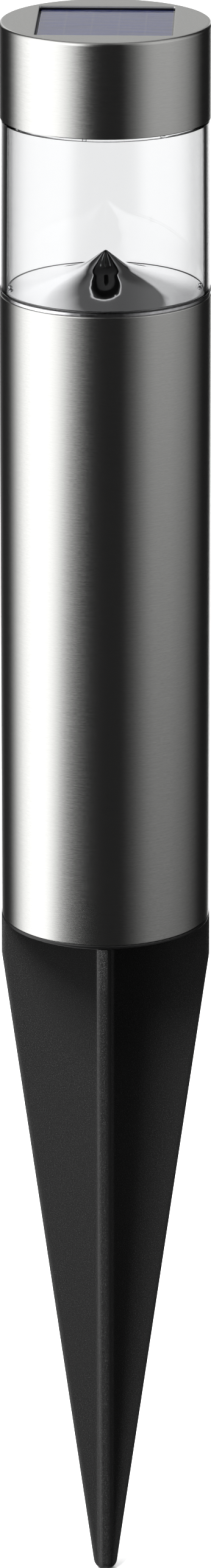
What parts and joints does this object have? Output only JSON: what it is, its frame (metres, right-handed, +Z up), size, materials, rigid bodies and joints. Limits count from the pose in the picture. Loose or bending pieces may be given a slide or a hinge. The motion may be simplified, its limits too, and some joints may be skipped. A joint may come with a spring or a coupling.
{
  "type": "garden post light",
  "caption": "Slim solar post light: brushed steel tube on a finned plastic ground spike, with a clear lens over a mirror cone and a steel head with a square window.",
  "frame": {"origin": "on the axis at ground level, the underside of the spike's collar", "axes": "+Z up along the post; -Y is the front, where the front fin points"},
  "size_m": [0.0602, 0.0602, 0.4732],
  "materials": {
    "brushed_steel": "satin, brushed round the axis",
    "black_plastic": "fine spark-eroded grain",
    "inner_plastic": "plain moulded",
    "clear_plastic": "clear, polished",
    "mirror_coat": "metallised plastic",
    "rubber": "matte",
    "panel_glass": "clear cover",
    "silicon": "blue-grey cells with fine lines",
    "board": "solder mask",
    "screw_steel": "zinc-plated",
    "lamp": "water-clear resin",
    "nickel": "nickel-plated",
    "chip": "moulded",
    "ferrite": "ferrite drum",
    "knob": "moulded",
    "cell_sleeve": "shrink sleeve",
    "wire": "insulation"
  },
  "bodies": {
    "spike": {"ground_spike": "black_plastic"},
    "post": {"post_tube": "brushed_steel", "tube_adapter": "inner_plastic"},
    "lens_unit": {"lens": "clear_plastic", "lens_seal": "rubber", "reflector_cone": "mirror_coat"},
    "head": {"cap_shell": "brushed_steel", "window_gasket": "rubber", "panel_cover": "panel_glass", "solar_cells": "silicon", "panel_board": "board", "panel_frame": "inner_plastic", "head_housing": "inner_plastic", "head_seal": "rubber", "head_screws": "screw_steel", "circuit_board": "board", "board_screws": "screw_steel", "led": "lamp", "led_leads": "nickel", "control_chip": "chip", "choke": "ferrite", "switch_body": "chip", "battery_cell": "cell_sleeve", "contact_plus": "nickel", "contact_minus": "nickel", "panel_wires": "wire", "battery_wires": "wire"},
    "door": {"battery_door": "inner_plastic", "door_screws": "screw_steel"},
    "switch": {"switch_knob": "knob"}
  },
  "joints": [
    {"name": "post_pull", "type": "slide", "parent": "spike", "child": "post", "axis": [0, 0, 1], "range_m": [0, 0.03]},
    {"name": "lens_turn", "type": "hinge", "parent": "post", "child": "lens_unit", "pos_m": [0, 0, 0.1868], "axis": [0, 0, 1], "range_deg": [0, 20]},
    {"name": "head_lift", "type": "slide", "parent": "lens_unit", "child": "head", "axis": [0, 0, 1], "range_m": [0, 0.03]},
    {"name": "door_pull", "type": "slide", "parent": "head", "child": "door", "axis": [0, 0, -1], "range_m": [0, 0.012]},
    {"name": "switch_slide", "type": "slide", "parent": "head", "child": "switch", "axis": [1, 0, 0], "range_m": [0, 0.003]}
  ]
}
